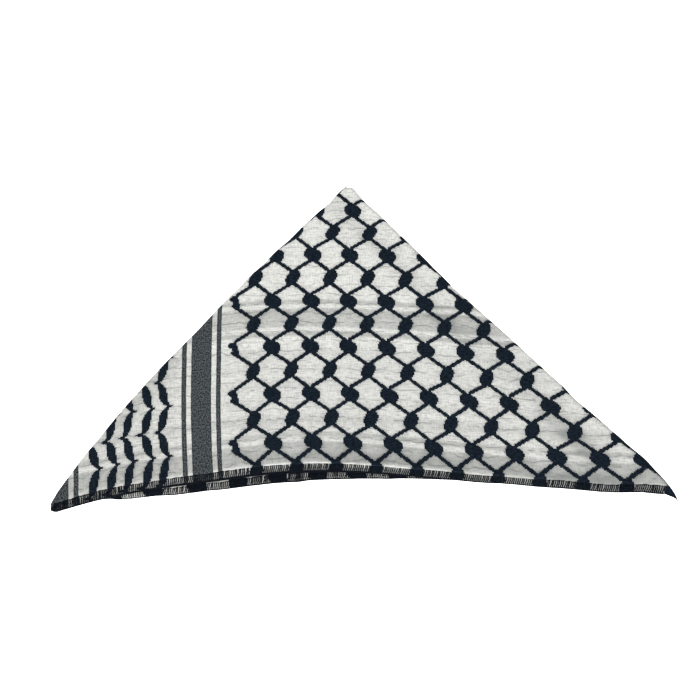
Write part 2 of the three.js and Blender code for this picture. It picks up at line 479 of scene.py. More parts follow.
def row_of(quarter, w, tilt):
    """One row: place across and up, height, and the cloth's own coordinates.

    tilt is 90 on the flat, and falls to 0 where the cloth turns over at the apex."""
    left, right = float(left_fold(bent(0, w))), float(right_fold(bent(SIDE, w)))
    room = min(1, (right - left) / (2 * MIDDLE * math.sqrt(2) + GAP))
    left += quarter["tuck"][0] * math.sqrt(2) * room
    right -= quarter["tuck"][1] * math.sqrt(2) * room
    start, turn_left = side_points(left, -1, quarter["left"], quarter["face"], room)
    end, turn_right = side_points(right, 1, quarter["right"], quarter["face"], room)
    step = quarter["step"]
    flat = np.arange(math.floor(start / step) + 1, math.ceil(end / step)) * step
    least = 0.3 * step
    flat = flat[(flat > start + least) & (flat < end - least)]
    flat = np.concatenate([[start], flat, [end]])
    h = np.concatenate([turn_left[0][::-1], flat, turn_right[0]])
    key = np.concatenate([start - turn_left[1][::-1] * math.sqrt(2), flat,
                          end + turn_right[1] * math.sqrt(2)])
    z = np.concatenate([turn_left[2][::-1], np.full(len(flat), quarter["face"]), turn_right[2]])
    z = MIDDLE + (z - MIDDLE) * math.sin(math.radians(tilt))
    past = np.maximum(0, start - key) + np.maximum(0, key - end)
    cloth_h = np.clip(key, start, end) + np.sign(key - (start + end) / 2) * past / 2
    up = bent(h, w)
    return dict(h=h, w=up, z=z, key=key, cloth=(cloth_h, up + past / 2), past=past)


def zipped(lower, upper, at_lower, at_upper):
    """Triangles between two rows of any length, taken in the order of their keys."""
    i, j, faces = 0, 0, []
    while i < len(lower) - 1 or j < len(upper) - 1:
        ahead = j == len(upper) - 1 or (i < len(lower) - 1 and lower[i + 1] <= upper[j + 1])
        if ahead:
            faces.append((at_lower + i, at_lower + i + 1, at_upper + j))
            i += 1
        else:
            faces.append((at_lower + i, at_upper + j + 1, at_upper + j))
            j += 1
    return faces


# %% [markdown]
# ### Creases
#
# A crease here is a soft groove or ridge between two points of the quarter, deepest in its
# middle. The longest one runs beside the right fold, where the cloth drops off the fold inside
# it. Just above the hem the stretched overlocking makes the cloth stand up in a low, even ridge.

# %% Creases of the front and the back
# (start h, start w, end h, end w, half width, height at the middle), in millimetres
FRONT_CREASES = [
    (296, 180, 452, 26, 10, 0.8),
    (312, 186, 466, 36, 8, -0.8),
    (118, 96, 205, 172, 10, -0.4),
    (60, 26, 120, 84, 7, -0.35),
    (236, 30, 330, 22, 12, -0.3),
    (250, 60, 300, 128, 14, 0.3),
    (196, 60, 226, 130, 12, -0.3),
    (300, 196, 262, 236, 6, -0.4),
    (402, 92, 342, 70, 10, 0.25),
    (150, 44, 176, 90, 9, 0.25),
    (452, 30, 496, 12, 6, 0.3),
]
BACK_CREASES = [
    (360, 140, 470, 40, 9, 0.6),
    (110, 80, 190, 160, 10, 0.5),
    (230, 40, 320, 30, 12, 0.4),
    (260, 90, 300, 170, 13, 0.5),
    (160, 30, 200, 76, 8, 0.3),
]
BOW = 0.09  # how far a crease bows, as a part of its length
WAVE, WRINKLE = 0.3, 0.06  # heights of the slow waves and of the fine wrinkles


def creased(h, w, creases):
    height = np.zeros(len(h))
    for h0, w0, h1, w1, half, rise in creases:
        dh, dw = h1 - h0, w1 - w0
        long = math.hypot(dh, dw)
        along = ((h - h0) * dh + (w - w0) * dw) / long**2
        away = ((w - w0) * dh - (h - h0) * dw) / long - BOW * long * np.sin(np.pi * along)
        taper = eased(1 - abs(2 * along - 1))
        height += rise * taper * bell(away, half)
    return height


def undulation(h, w):
    """Slow, shallow waves that no pressed cloth is quite without, and fine wrinkles along them."""
    slow = np.sin(h / 21 + 1.7 * np.sin(w / 27)) * np.sin(w / 6.5 + 0.8 + np.sin(h / 33))
    fine = np.sin(w / 1.25 + 2.5 * np.sin(h / 14 + w / 19)) * (0.5 + 0.5 * np.sin(h / 9 + w / 7))
    return WAVE * slow + WRINKLE * fine


# %% Relief of the good face
# The ridge stands `off` the stitches, which are `deep`, and the waves begin `clear` of it.
HEM_RIDGE = dict(deep=5.7, off=1.3, below=0.8, above=5.5, clear=6)
# (place along the hem, height of the ridge)
RIDGE_HEIGHTS = [(0, 0.6), (60, 0.7), (170, 0.9), (235, 2.1), (300, 2.1), (340, 1.1), (375, 1.1),
                 (395, 1.8), (425, 1.0), (460, 0.5), (509, 0.6)]
SEWN = HEM + 3  # the stitches hold the cloth up as far as this
FLOAT_RISE, FLOAT_SOFT = 0.16, 1.6  # how far the woven figures stand up, and how softly
THIRD_SHARE = 0.5  # of the ridge and of the figures, in the third quarter
BACK_SHARE = 0.3  # of the ridge, in the back quarter
PRESSED = 0.1  # the floor presses waves as low as this flat
FADE = 0.5  # the relief dies out as fast as this round a fold


def relief(quarter, name, row):
    """How far the good face stands off its flat height, in millimetres."""
    h, w = row["h"], row["w"]
    flat = np.exp(-row["past"] / FADE)
    u, v = quarter["chart"](*row["cloth"])
    float_rise = FLOAT_RISE * shown(figures(u, v), FLOAT_SOFT)
    away = w - edge_at(h) - HEM_RIDGE["deep"] * hem_size(h) - HEM_RIDGE["off"]
    half = np.where(away < 0, HEM_RIDGE["below"], HEM_RIDGE["above"])
    ridge = np.interp(h, *zip(*RIDGE_HEIGHTS)) * bell(away, half)
    edge = eased(1 - w / SEWN) * abs(quarter["hem"] - quarter["face"])
    unsewn = eased(away / HEM_RIDGE["clear"] + 0.3)
    if name == "front_cloth":
        waves = unsewn * (creased(h, w, FRONT_CREASES) + undulation(h, w))
        return flat * (waves + ridge + edge) + float_rise
    if name == "back_cloth":
        lifted = creased(h, w, BACK_CREASES) + undulation(h, w) - PRESSED
        return -flat * (unsewn * np.maximum(0, lifted) + edge + ridge * BACK_SHARE)
    if name == "second_cloth":
        return -flat * edge
    return flat * (ridge * THIRD_SHARE + edge) + float_rise * THIRD_SHARE


# %% Build one sheet
COARSE = 3  # a quarter with longer steps than this is hidden, and needs no closer rows at its hem
APEX_TURNS = (90, 65, 40, 18, 0)


def sheet_rows(quarter):
    step = quarter["step"]
    top = APEX - quarter["tuck"][2]
    fine = np.arange(0, NEAR_HEM, step / 2 if step < COARSE else step)
    rest = np.arange(fine[-1] + step, top - MIDDLE - step / 2, step)
    radius = abs(quarter["face"] - MIDDLE)
    apex = [(top - radius * (1 - math.cos(math.radians(tilt))), tilt) for tilt in APEX_TURNS]
    rows = [(float(w), 90) for w in (*fine, *rest)] + apex
    return [row_of(quarter, *row) for row in rows]


def charted_mesh(name, places, faces, cloth):
    """A smooth mesh that carries the cloth's own coordinates as a UV map."""
    mesh = bpy.data.meshes.new(name)
    mesh.from_pydata(places.tolist(), [], faces)
    corners = np.empty(len(mesh.loops), dtype=np.int32)
    mesh.loops.foreach_get("vertex_index", corners)
    chart = mesh.uv_layers.new(name="Cloth")
    chart.data.foreach_set("uv", cloth[corners].astype(np.float32).ravel())
    mesh.shade_smooth()
    return mesh


def settled(piece):
    """The piece with its modifiers made real."""
    graph = bpy.context.evaluated_depsgraph_get()
    mesh = bpy.data.meshes.new_from_object(piece.evaluated_get(graph), depsgraph=graph)
    piece.modifiers.clear()
    piece.data, mesh.name = mesh, piece.name
    return piece


def make_sheet(name):
    quarter = QUARTERS[name]
    rows = sheet_rows(quarter)
    places, cloth, faces, starts = [], [], [], [0]
    for row in rows:
        x, y = lay_out(row["h"], row["w"] - quarter["slip"] * slip_at(row["h"], row["w"]))
        z = row["z"] + quarter["up"] * relief(quarter, name, row)
        places.append(np.stack([x, y, z], 1) * MM)
        cloth.append(np.stack(quarter["chart"](*row["cloth"]), 1) / SIDE)
        starts.append(starts[-1] + len(x))
    for lower, upper, at_lower, at_upper in zip(rows, rows[1:], starts, starts[1:]):
        faces += zipped(lower["key"], upper["key"], at_lower, at_upper)
    if quarter["up"] < 0:
        faces = [face[::-1] for face in faces]
    mesh = charted_mesh(name, np.concatenate(places), faces, np.concatenate(cloth))
    piece = bpy.data.objects.new(name, mesh)
    bpy.context.collection.objects.link(piece)
    wall = piece.modifiers.new("thickness", "SOLIDIFY")
    wall.thickness, wall.offset = THICKNESS * MM, -1
    return settled(piece)


# %% Make the four sheets
sheets = {name: make_sheet(name) for name in QUARTERS}
for name, piece in sheets.items():
    piece.data.calc_loop_triangles()
    print(name, len(piece.data.loop_triangles), "triangles")

# %% [markdown]
# ## The cloth's finish
#
# One material weaves all four quarters. It reads the Cloth map, so the pattern runs on round the
# folds as the threads do. The figures step from thread to thread, as woven ones must, and a slow
# wander keeps two knots from being quite alike. An image of real cloth would blur when seen from
# close by, so all that is uneven comes from noise instead, in spots of a chosen size.


# %% Colours
def linear(red, green, blue):
    """A colour as a screen shows it, 0 to 255, in linear light with full opacity."""
    return (*[(c / 255 / 12.92 if c <= 10 else ((c / 255 + 0.055) / 1.055) ** 2.4)
              for c in (red, green, blue)], 1)


WHITE = linear(232, 232, 227)
THREAD_GAP = linear(120, 122, 120)
# GREYED is the grey that what shows through, and painted shade, turn the ground towards.
GREYED = linear(150, 152, 149)
NAVY = linear(1, 9, 20)
NAVY_LIT = linear(24, 38, 51)
CHARCOAL = linear(14, 19, 23)
CHARCOAL_LIT = linear(91, 97, 99)


# %% Small helpers for the material
def mixed(tree, amount, first, second):
    """The first colour at an amount of 0 and the second at 1."""
    node = tree.nodes.new("ShaderNodeMix")
    node.data_type = "RGBA"
    tree.links.new(amount.socket, node.inputs[0])
    colour_inputs = [s for s in node.inputs if s.type == "RGBA"]
    for socket, value in zip(colour_inputs, (first, second)):
        if isinstance(value, tuple):
            socket.default_value = value
        else:
            tree.links.new(value, socket)
    return next(s for s in node.outputs if s.type == "RGBA")


def noise(tree, u, v, size, layer, detail=2):
    """Even noise from 0 to 1 in spots of this size, in millimetres. No two layers are alike."""
    place = tree.nodes.new("ShaderNodeCombineXYZ")
    tree.links.new((u / size[0]).socket, place.inputs["X"])
    tree.links.new((v / size[1]).socket, place.inputs["Y"])
    place.inputs["Z"].default_value = layer
    node = tree.nodes.new("ShaderNodeTexNoise")
    node.inputs["Scale"].default_value = 1
    node.inputs["Detail"].default_value = detail
    tree.links.new(place.outputs[0], node.inputs["Vector"])
    return Field(tree, node.outputs[0])


def flecks(tree, u, v, size, layer, rare, soft, detail=2):
    """1 in the strongest spots of the noise and 0 between them."""
    return shown(noise(tree, u, v, size, layer, detail) - rare, soft)


# %% [markdown]
# ### What shows through, and painted shade
#
# The front quarter is thin, and what lies below greys it: dyed stripes and leaves of the next
# quarter. Light that passes through would do it too, but slowly and with much noise, so the amounts
# of grey are worked out here, each by a rule of its own. Shade is painted into the same grey:
# beside the left fold, in a hollow inside the right fold, and at the hem, above and between its
# stitches.

# %% Bands of the stripes below
# The bands lie `shift` out of step with the stripes, `dip` less round `at`, and they bend down by
# `lift` beside the hem, `more` round `at`. `spread` widens their distance up from `level`.
# They are uneven in broad patches and from thread to thread.
BANDS = dict(shift=3.4, at=236, half=75, dip=2.1, low=70, lift=2.7, more=1, level=120, spread=0.03,
             soft=1.8, patches=(30, 12), threads=(0.9, 3))
# Beside the hem these shares stand partly for what shows through and partly for painted shade above
# the ridge.
# How much of them shows. Beside the hem, below `low`, it is a little less, but from `gap` up, where
# the broad stripe ends, it is more again, and from `above` up less.
SHARE = dict(shows=0.46, low=60, less=0.08, gap=19, gap_more=0.12, above=27, above_less=0.22)
# (place along, half length, how much more shows there), beside the hem
CLOSER = [(315, 60, 0.12), (420, 18, -0.14)]
# Where the cloth stands up in the ridge above the stitches, it lies off the bands, and this lighter
# ridge is partly a painted highlight.
STANDS_OFF = dict(up=8.8, half=1.6, at=225, long=120, least=0.15)


def band_shift(u, v):
    near = bell(u - BANDS["at"], BANDS["half"])
    lift = near * BANDS["more"] + BANDS["lift"]
    shift = BANDS["shift"] - near * BANDS["dip"]
    shift = shift - shown(BANDS["low"] - v, BANDS["low"]) * lift
    return shift + (v - BANDS["level"]) * BANDS["spread"]


def band_share(u, v):
    closer = sum(bell(u - at, half) * more for at, half, more in CLOSER) - SHARE["less"]
    closer = closer + shown(v - SHARE["gap"], 5) * SHARE["gap_more"]
    closer = closer - shown(v - SHARE["above"], 3) * SHARE["above_less"]
    share = shown(SHARE["low"] - v, 20) * closer + SHARE["shows"]
    along = bell(u - STANDS_OFF["at"], STANDS_OFF["long"]) * (1 - STANDS_OFF["least"])
    off = bell(v - STANDS_OFF["up"], STANDS_OFF["half"]) * (along + STANDS_OFF["least"])
    return share * (1 - off)


def bands(tree, u, v):
    """Warp stripes of the quarter below, lying across and patchy."""
    patches = noise(tree, u, v, BANDS["patches"], 6)
    patchy = patches * 0.5 + noise(tree, u, v, BANDS["threads"], 8) * 0.5
    band = shown(stripes(v + band_shift(u, v)), BANDS["soft"])
    return band * band_share(u, v) * (patchy + 0.5)


# %% Leaves below, and painted shade beside the left fold and in the hollow in the right one
# Each has the place of its middle, half its width and how dark it is there, 1 being quite grey.
LEAF_ROWS = dict(first=45.5, half=5, dark=0.17, column=14.9, faint=0.06, top=108, base=0.13)
FOLD_SHADE = dict(off=9, half=13, dark=0.26, low=48, high=112)
HOLLOW = dict(at=490, half=13, dark=0.22, low=42, low_half=20, low_dark=0.36, high=134,
              high_half=13, high_dark=0.22, start=22, sway=4, sway_length=17)


def leaf_rows(v):
    """The leaf columns of the quarter below lie across, and grey the thin cloth in faint rows."""
    rows = sine((v - LEAF_ROWS["first"]) * (2 * math.pi / LEAF_ROWS["column"]) + math.pi / 2)
    faint = (rows * LEAF_ROWS["faint"] + LEAF_ROWS["base"]) * shown(LEAF_ROWS["top"] - v, 6)
    return bell(v - LEAF_ROWS["first"], LEAF_ROWS["half"]) * LEAF_ROWS["dark"] + faint


def fold_shade(u, v):
    """Painted shade along the folded-over edge beside the left fold, in its lower part."""
    inside = shown(v - FOLD_SHADE["low"], 20) * shown(FOLD_SHADE["high"] - v, 12)
    return bell(u - v - FOLD_SHADE["off"], FOLD_SHADE["half"]) * FOLD_SHADE["dark"] * inside


def hollow(u, v):
    """Painted shade in the hollow inside the right fold, where the cloth drops off the inner fold.
    """
    depth = bell(v - HOLLOW["low"], HOLLOW["low_half"]) * HOLLOW["low_dark"] + HOLLOW["dark"]
    depth = depth + bell(v - HOLLOW["high"], HOLLOW["high_half"]) * HOLLOW["high_dark"]
    away = u + v + sine(v / HOLLOW["sway_length"]) * HOLLOW["sway"] - HOLLOW["at"]
    return bell(away, HOLLOW["half"]) * depth * shown(v - HOLLOW["start"], 10)


# %% Painted shade at the hem
# Painted shade above the right half of the hem (`off` is up from the hem), and further left on the
# cloth between the stitches.
HEM_SHADE = dict(off=10.2, half=4, at=446, long=42, dark=0.72, sewn=7, sewn_at=325, sewn_long=95,
              sewn_dark=0.4)


def painted_hem_shade(u, v):
    near = bell(v - HEM_SHADE["off"], HEM_SHADE["half"])
    above = near * bell(u - HEM_SHADE["at"], HEM_SHADE["long"]) * HEM_SHADE["dark"]
    under = shown(HEM_SHADE["sewn"] - v, 2) * HEM_SHADE["sewn_dark"]
    return above + under * bell(u - HEM_SHADE["sewn_at"], HEM_SHADE["sewn_long"])


# What shows through from below, and painted shade at the folds and at the hem.
def show_through_and_shade(tree, u, v):
    return (bands(tree, u, v) + leaf_rows(v) + hollow(u, v) + fold_shade(u, v)
            + painted_hem_shade(u, v))


# %% [markdown]
# ### Painted shade of puckers and creases
#
# All four quarters have these. The ground beside each figure is painted a little darker, as shade
# where the cloth puckers round it, which gives each figure a halo. Soft wisps and hairline creases
# are painted as shade across the cloth, as they run in cotton that was folded up and packed. They
# could be creases of the mesh, but lines as fine as a thread would take millions of faces.

# %% Painted shade: halo, wisps and hairlines
HALO = dict(dark=0.3, reach=1.7)
WISP = dict(size=(13, 2.6), layer=13, rare=0.58, soft=0.16)
WISP_SWAY = dict(size=(17, 19), layer=11)
WISP_DARK, WISP_BEND = 0.13, 9
HAIRLINE = dict(apart=8.5, wander=9, half=0.45, dark=0.6)
HAIRLINE_SWAY = dict(size=(15, 30), layer=21)
# This size is in millimetres along a row, and in rows across.
HAIRLINE_RUNS = dict(size=(11, 1 / 3.7), layer=23, rare=0.48, soft=0.1)


# Painted shade of soft, wavy wrinkles.
def wisps(tree, u, v):
    bent_by = (noise(tree, u, v, **WISP_SWAY) - 0.5) * WISP_BEND
    return flecks(tree, u, v + bent_by, **WISP) * WISP_DARK


def hairlines(tree, u, v):
    """Painted shade of fine creases, which wander across in rows, each row broken into short runs.
    """
    wander = (noise(tree, u, v, **HAIRLINE_SWAY) - 0.5) * HAIRLINE["wander"]
    rows = (v + wander) / HAIRLINE["apart"]
    row = whole(rows)
    off = (rows - row - 0.5) * HAIRLINE["apart"]
    runs = flecks(tree, u, row, **HAIRLINE_RUNS)
    return bell(off, HAIRLINE["half"]) * runs * HAIRLINE["dark"]


# Painted shade: a halo beside each figure, and the wisps and hairlines of creases.
def painted_shade(tree, u, v, depth):
    halo = decay(smaller(depth, 0.0) / HALO["reach"]) * HALO["dark"]
    return halo + wisps(tree, u, v) + hairlines(tree, u, v)


# %% [markdown]
# ### The weave
#
# The ground is white yarn with small dark gaps between its threads, and a thicker thread here and
# there, a slub. The stripes are charcoal, heathered with grey, and calmer at their edges. The
# figures are navy floats, threads that lie on top for a few millimetres and shine a little more.

# %% Yarns
THREAD = dict(warp=1.1, weft=1.0)  # steps of the figures
WANDER = dict(most=0.55, size=(12, 12))
RAGGED = dict(most=0.7, size=(2, 7), soft=0.35)  # edges of the stripes
GRAIN = dict(warp=(0.9, 5), weft=(6, 1), warp_share=0.45, rare=0.54, soft=0.2, dark=0.46)
SLUB = dict(size=(9, 0.9), layer=1, rare=0.62, soft=0.12)
SLUB_DARK = 0.14
HEATHER = dict(size=(0.8, 1.3), layer=9, rare=0.5, soft=0.25, detail=1)
CALM_EDGE = dict(width=0.8, soft=0.9, share=0.65)
LIT_FLOATS = dict(size=(3, 1.1), layer=12, rare=0.55, soft=0.3)
YARN = dict(warp=0.62, weft=0.55, rise=0.03, figure_rise=0.08, slack=0.1, slack_size=(4, 4))
ROUGHNESS = dict(ground=0.92, figure=0.77)


def stepped(value, thread):
    """The middle of the thread that a place is on."""
    return (whole(value / thread) + 0.5) * thread


def wandering(tree, place, u, v, layer):
    """The place along u or v, moved a little as the threads wander."""
    return place + (noise(tree, u, v, WANDER["size"], layer) - 0.5) * (2 * WANDER["most"])


# %% Colours of the yarns
def ground_yarn(tree, u, v, grey):
    cloth = mixed(tree, smaller(grey, 1.0), WHITE, GREYED)
    warp = noise(tree, u, v, GRAIN["warp"], 2) * GRAIN["warp_share"]
    weft = noise(tree, u, v, GRAIN["weft"], 4) * (1 - GRAIN["warp_share"])
    gaps = shown(warp + weft - GRAIN["rare"], GRAIN["soft"]) * GRAIN["dark"]
    slubs = flecks(tree, u, v, **SLUB) * SLUB_DARK
    return mixed(tree, gaps + slubs, cloth, THREAD_GAP)


def stripe_yarn(tree, u, v):
    inside = shown(stripes(u) - CALM_EDGE["width"], CALM_EDGE["soft"])
    heathered = inside * (1 - CALM_EDGE["share"]) + CALM_EDGE["share"]
    return mixed(tree, flecks(tree, u, v, **HEATHER) * heathered, CHARCOAL, CHARCOAL_LIT)


def figure_yarn(tree, u, v):
    return mixed(tree, flecks(tree, u, v, **LIT_FLOATS), NAVY, NAVY_LIT)


def thread_relief(tree, u, v, figure):
    """Height of the yarn in millimetres, for the bump."""
    thread = sine(u * (2 * math.pi / YARN["warp"])) * sine(v * (2 * math.pi / YARN["weft"]))
    slack = noise(tree, u, v, YARN["slack_size"], 14) * YARN["slack"]
    return thread * YARN["rise"] + figure * YARN["figure_rise"] + slack


# %% One material for all quarters
def weave_material(name, see_through_and_shade):
    material = bpy.data.materials.new(name)
    material.use_nodes = True
    tree = material.node_tree
    shader = tree.nodes["Principled BSDF"]
    chart = tree.nodes.new("ShaderNodeUVMap")
    chart.uv_map = "Cloth"
    split = tree.nodes.new("ShaderNodeSeparateXYZ")
    tree.links.new(chart.outputs[0], split.inputs[0])
    u, v = (Field(tree, split.outputs[i]) * SIDE for i in (0, 1))

    warp = stepped(wandering(tree, u, u, v, 3.1), THREAD["warp"])
    weft = stepped(wandering(tree, v, u, v, 7.7), THREAD["weft"])
    depth = figures(warp, weft)
    figure = shown(depth, 0.1)
    ragged = (noise(tree, u, v, RAGGED["size"], 5) - 0.5) * RAGGED["most"]
    stripe = shown(stripes(u + ragged), RAGGED["soft"])
    # Painted shade round figures and in creases. On the front, also what shows through, and painted
    # shade at its folds and hem.
    grey = painted_shade(tree, u, v, depth)
    if see_through_and_shade:
        grey = grey + show_through_and_shade(tree, u, v)
    cloth = mixed(tree, stripe, ground_yarn(tree, u, v, grey), stripe_yarn(tree, u, v))
    colour = mixed(tree, figure, cloth, figure_yarn(tree, u, v))
    tree.links.new(colour, shader.inputs["Base Color"])

    bump = tree.nodes.new("ShaderNodeBump")
    bump.inputs["Strength"].default_value = 0.5
    bump.inputs["Distance"].default_value = MM
    tree.links.new(thread_relief(tree, u, v, figure).socket, bump.inputs["Height"])
    tree.links.new(bump.outputs[0], shader.inputs["Normal"])
    smoother = figure * (ROUGHNESS["figure"] - ROUGHNESS["ground"])
    tree.links.new((smoother + ROUGHNESS["ground"]).socket, shader.inputs["Roughness"])
    shader.inputs["Specular IOR Level"].default_value = 0.1
    shader.inputs["Sheen Weight"].default_value = 0.04
    shader.inputs["Sheen Roughness"].default_value = 0.5
    return material


front_weave = weave_material("front_weave", True)
plain_weave = weave_material("plain_weave", False)
for name, piece in sheets.items():
    piece.data.materials.clear()
    piece.data.materials.append(front_weave if name == "front_cloth" else plain_weave)
print("weave nodes:", len(front_weave.node_tree.nodes))

# %% [markdown]
# ## Overlocking
#
# An overlock machine sews three threads round a cut edge. A needle thread runs along the inside,
# and two looper threads go out from it over and under the cloth and lock at the edge. Seen from
# above, each stitch is a pair of strokes that lean a little and kink in the middle. One could
# model each thread for its whole length, but a stitch repeats every 1.7 mm, so one stitch is drawn
# and Geometry Nodes set a copy at each step along the hem, with a little unevenness in each.

# %% One stitch
PITCH = dict(upper=1.72, lower=1.62)
STITCH = dict(depth=5.9, thread=0.3, proud=0.06)


def stitch_strokes():
    """Poly-lines of one stitch: x along the hem, y up from the edge, z off the cloth's middle."""
    depth, pitch = STITCH["depth"], PITCH["upper"]
    waist, face = depth * 0.5, THICKNESS / 2 + STITCH["proud"]
    strokes = []
    for x, top, foot in ((0, 0.1, -0.2), (0.62, -0.1, 0)):
        kink = (x - 0.1, waist, face)
        strokes.append([(x + 0.3, depth + top, 0.15), (x + 0.2, depth - 0.3, face), kink])
        strokes.append([kink, (x - 0.65, waist - 0.9, face), (x - 0.9, foot, face)])
    strokes.append([(-0.1, waist, face), (0.2, waist - 0.3, face), (0.55, waist - 0.1, face)])
    strokes.append([(-0.4, depth - 0.1, face), (0, depth + 0.2, face), (1, depth + 0.1, face),
                    (pitch - 0.4, depth - 0.1, face)])
    under = [[(x, y, -z) for x, y, z in line] for line in (*strokes[:2], strokes[-1])]
    edge = [(-0.9, -0.2, 0.15), (-0.4, -0.3, 0.25), (0.4, -0.3, -0.1), (pitch - 0.9, -0.2, 0.15)]
    lock = [(-0.9, 0.3, face), (0, 0.15, face), (pitch - 0.9, 0.3, face)]
    return [*strokes, edge, lock, *under]


def stitch_curve():
    curve = bpy.data.curves.new("one_stitch", "CURVE")
    curve.dimensions = "3D"
    for line in stitch_strokes():
        spline = curve.splines.new("POLY")
        spline.points.add(len(line) - 1)
        points = [c for x, y, z in line for c in (x * MM, y * MM, z * MM, 1)]
        spline.points.foreach_set("co", points)
    made = bpy.data.objects.new("one_stitch", curve)
    bpy.context.collection.objects.link(made)
    return made


one_stitch = stitch_curve()
print("strokes in a stitch:", len(one_stitch.data.splines))

# %% [markdown]
# ### The thread's finish
#
# Overlocking thread is spun, nearly black, matte and a little uneven along its length. Its fibres
# could be modelled, but at half a millimetre two shades in a fine speckle, and a bump from the
# same speckle, look like them and cost nothing.

# %% Thread finish
THREAD_SHADES = linear(4, 8, 15), linear(22, 27, 37)
SPECKLES = dict(per_metre=900, rare=0.55, soft=0.25, height=0.1)


def thread_material():
    material = bpy.data.materials.new("overlock_thread")
    material.use_nodes = True
    tree = material.node_tree
    shader = tree.nodes["Principled BSDF"]
    place = tree.nodes.new("ShaderNodeTexCoord")
    speckle = tree.nodes.new("ShaderNodeTexNoise")
    speckle.inputs["Scale"].default_value = SPECKLES["per_metre"]
    tree.links.new(place.outputs["Object"], speckle.inputs["Vector"])
    amount = shown(Field(tree, speckle.outputs[0]) - SPECKLES["rare"], SPECKLES["soft"])
    tree.links.new(mixed(tree, amount, *THREAD_SHADES), shader.inputs["Base Color"])
    bump = tree.nodes.new("ShaderNodeBump")
    bump.inputs["Distance"].default_value = SPECKLES["height"] * MM
    tree.links.new(speckle.outputs[0], bump.inputs["Height"])
    tree.links.new(bump.outputs[0], shader.inputs["Normal"])
    shader.inputs["Roughness"].default_value = 0.7
    shader.inputs["Specular IOR Level"].default_value = 0.08
    return material


thread = thread_material()

# %% [markdown]
# ### The sewing tree
#
# The tree takes the hem's path as a mesh line. It makes a curve of it, steps along it, and
# sets a stitch at each step, turned to the path. Random turns and sizes come from a fixed seed.


# %% Inputs of the sewing tree
def sewing_inputs(tree):
    """The tree's named inputs, as sockets that its nodes can be linked to."""
    add = tree.interface.new_socket
    for label, kind in (("Path", "Geometry"), ("Stitch", "Object"), ("Pitch", "Float"),
                        ("Thread", "Float"), ("Unevenness", "Float"), ("Seed", "Int"),
                        ("Finish", "Material")):
        add(label, in_out="INPUT", socket_type="NodeSocket" + kind)
    add("Sewn", in_out="OUTPUT", socket_type="NodeSocketGeometry")
    return tree.nodes.new("NodeGroupInput").outputs


def add_node(tree, kind, inputs, **settings):
    """A node whose inputs are linked to sockets or set to plain values."""
    node = tree.nodes.new(kind)
    for name, value in settings.items():
        setattr(node, name, value)
    for label, value in inputs.items():
        if isinstance(value, bpy.types.NodeSocket):
            tree.links.new(value, node.inputs[label])
        else:
            node.inputs[label].default_value = value
    return node


def number(sockets):
    return [s for s in sockets if s.type == "VALUE"]


def random_between(tree, seed, low, high):
    node = add_node(tree, "FunctionNodeRandomValue", {"Seed": seed})
    for bound, socket in zip((low, high), number(node.inputs)):
        tree.links.new(bound.socket, socket)
    return Field(tree, number(node.outputs)[0])


# %% Build the sewing tree
def round_thread(tree, given):
    """The drawn stitch, as tubes of thread."""
    drawn = add_node(tree, "GeometryNodeObjectInfo", {"Object": given["Stitch"]})
    section = add_node(tree, "GeometryNodeCurvePrimitiveCircle",
                       {"Resolution": 5, "Radius": given["Thread"]})
    return add_node(tree, "GeometryNodeCurveToMesh",
                    {"Curve": drawn.outputs["Geometry"], "Profile Curve": section.outputs[0],
                     "Fill Caps": True}).outputs[0]


def swayed(tree, given):
    """A rotation along the path, turned by a random angle."""
    heading = add_node(tree, "GeometryNodeInputTangent", {})
    along = add_node(tree, "FunctionNodeAlignRotationToVector", {"Vector": heading.outputs[0]},
                     axis="X", pivot_axis="Z")
    uneven = Field(tree, given["Unevenness"])
    lean = random_between(tree, given["Seed"], uneven * -1, uneven)
    turned = add_node(tree, "ShaderNodeCombineXYZ", {"Z": lean.socket})
    angle = add_node(tree, "FunctionNodeEulerToRotation", {"Euler": turned.outputs[0]})
    return add_node(tree, "FunctionNodeRotateRotation",
                    {"Rotation": along.outputs[0], "Rotate By": angle.outputs[0]},
                    rotation_space="LOCAL").outputs[0]


def stitch_size(tree, given):
    """The size drawn on the path, a little larger or smaller at random."""
    uneven = Field(tree, given["Unevenness"])
    drawn = add_node(tree, "GeometryNodeInputNamedAttribute", {"Name": "size"}, data_type="FLOAT")
    size = random_between(tree, given["Seed"], 1 - uneven, uneven + 1)
    return (size * Field(tree, number(drawn.outputs)[0])).socket


def sewing_tree():
    tree = bpy.data.node_groups.new("sew_the_edge", "GeometryNodeTree")
    given = sewing_inputs(tree)
    path = add_node(tree, "GeometryNodeMeshToCurve", {"Mesh": given["Path"]})
    steps = add_node(tree, "GeometryNodeResampleCurve",
                     {"Curve": path.outputs[0], "Length": given["Pitch"]}, mode="LENGTH")
    copies = add_node(tree, "GeometryNodeInstanceOnPoints",
                      {"Points": steps.outputs[0], "Instance": round_thread(tree, given),
                       "Rotation": swayed(tree, given), "Scale": stitch_size(tree, given)})
    real = add_node(tree, "GeometryNodeRealizeInstances", {"Geometry": copies.outputs[0]})
    smooth = add_node(tree, "GeometryNodeSetShadeSmooth", {"Geometry": real.outputs[0]})
    dyed = add_node(tree, "GeometryNodeSetMaterial",
                    {"Geometry": smooth.outputs[0], "Material": given["Finish"]})
    tree.links.new(dyed.outputs[0], tree.nodes.new("NodeGroupOutput").inputs[0])
    return tree


sewing = sewing_tree()
print("sewing tree:", len(sewing.nodes), "nodes")

# %% Sew the four hems
HEM_SHEETS = {"front_hem_stitches": "front_cloth", "second_hem_stitches": "second_cloth",
              "third_hem_stitches": "third_cloth", "back_hem_stitches": "back_cloth"}
HEM_STARTS, HEM_ENDS = 1.6, 509.5  # past the left fold, and along the hem
UNEVENNESS = 0.06


def pair_of(quarter):
    """The quarters lie in an upper and a lower pair, whose stitches differ a little."""
    return "upper" if quarter["slip"] < 0.5 else "lower"


